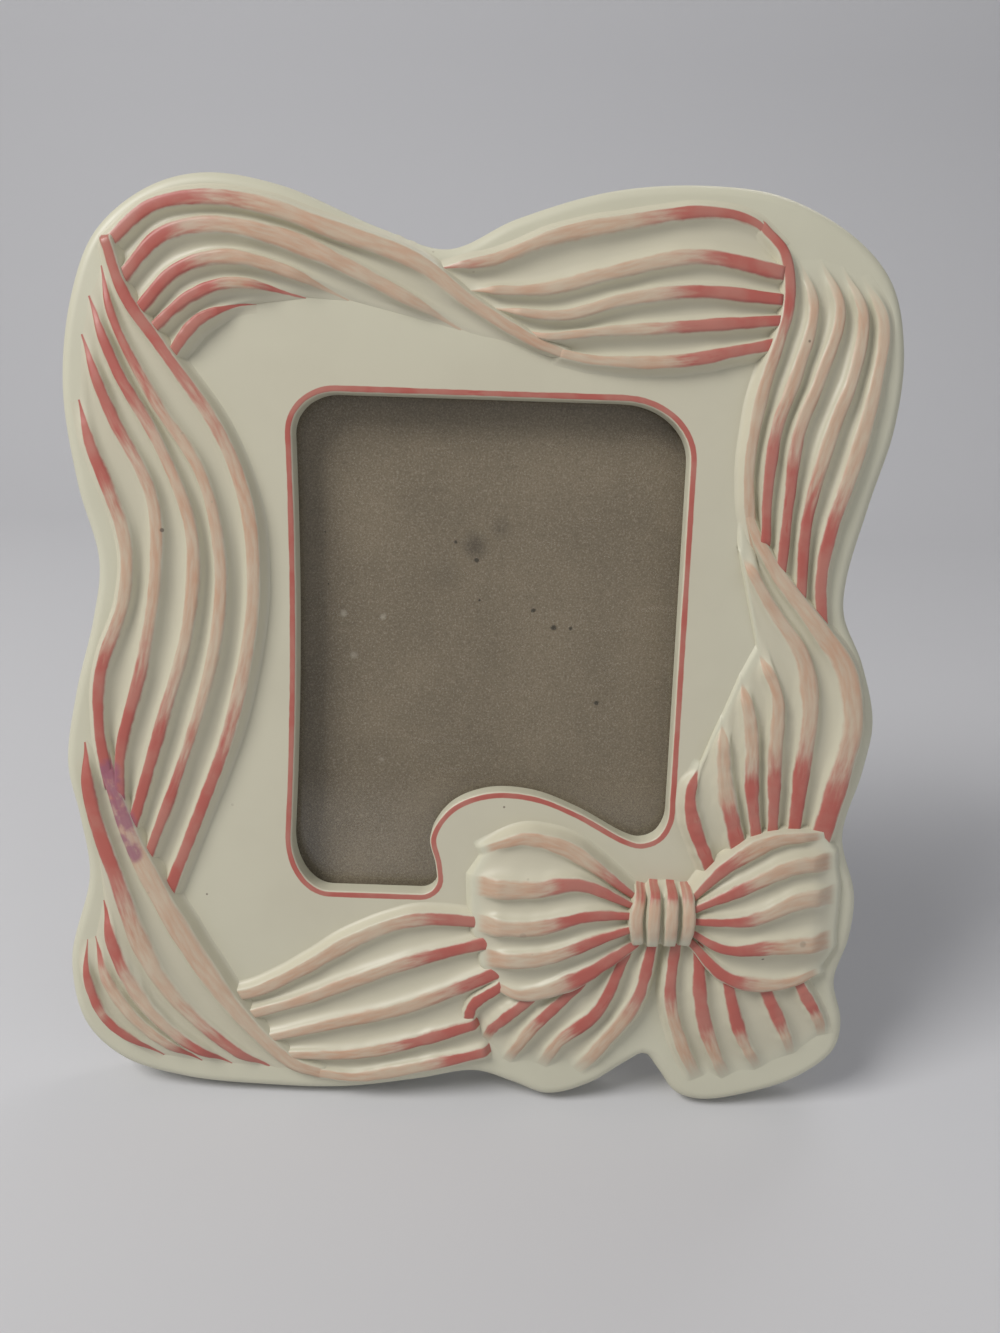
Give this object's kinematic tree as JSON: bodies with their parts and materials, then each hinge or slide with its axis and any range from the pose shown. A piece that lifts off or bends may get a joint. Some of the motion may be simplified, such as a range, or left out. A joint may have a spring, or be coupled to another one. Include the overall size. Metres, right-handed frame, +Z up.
{
  "type": "picture frame",
  "caption": "Standing picture frame with a scalloped cast front, a striped ribbon and bow in relief round a glazed window, and a hinged strut on its turn-buttoned back.",
  "frame": {"origin": "on the floor, under the middle of the object's bounding box", "axes": "+Z up, +X to the right as seen from the front, +Y from the front towards the strut"},
  "size_m": [0.174, 0.0642, 0.1923],
  "materials": {
    "painted_casting": "satin",
    "glass": "gloss",
    "chipboard": "matte",
    "flock": "matte",
    "hinge_steel": "brushed",
    "screw_steel": "brushed",
    "brass": "satin"
  },
  "bodies": {
    "frame": {"frame_casting": "painted_casting", "window_glass": "glass", "backing_insert": "chipboard", "easel_back": "flock", "hinge_plate": "hinge_steel", "hinge_pin": "hinge_steel", "turn_screw_upper_left": "screw_steel", "turn_screw_upper_right": "screw_steel", "turn_screw_lower_left": "screw_steel", "turn_screw_lower_right": "screw_steel", "plate_rivet_left": "hinge_steel", "plate_rivet_right": "hinge_steel"},
    "strut": {"strut": "flock", "hinge_leaf": "hinge_steel", "strut_rivet_left": "hinge_steel", "strut_rivet_right": "hinge_steel"},
    "turn_button_upper_left": {"turn_button_upper_left": "brass"},
    "turn_button_upper_right": {"turn_button_upper_right": "brass"},
    "turn_button_lower_left": {"turn_button_lower_left": "brass"},
    "turn_button_lower_right": {"turn_button_lower_right": "brass"}
  },
  "joints": [
    {"name": "strut_fold", "type": "hinge", "parent": "frame", "child": "strut", "pos_m": [0.00332, 0.0112, 0.12632], "axis": [1, 0, 0], "range_deg": [-22, 0]},
    {"name": "turn_upper_left", "type": "hinge", "parent": "frame", "child": "turn_button_upper_left", "pos_m": [-0.04927, 0.01002, 0.12967], "axis": [0, 0.9744, -0.225], "continuous": true},
    {"name": "turn_upper_right", "type": "hinge", "parent": "frame", "child": "turn_button_upper_right", "pos_m": [0.05593, 0.01002, 0.12967], "axis": [0, 0.9744, -0.225], "continuous": true},
    {"name": "turn_lower_left", "type": "hinge", "parent": "frame", "child": "turn_button_lower_left", "pos_m": [-0.04927, -0.00483, 0.06537], "axis": [0, 0.9744, -0.225], "continuous": true},
    {"name": "turn_lower_right", "type": "hinge", "parent": "frame", "child": "turn_button_lower_right", "pos_m": [0.05593, -0.00483, 0.06537], "axis": [0, 0.9744, -0.225], "continuous": true}
  ]
}
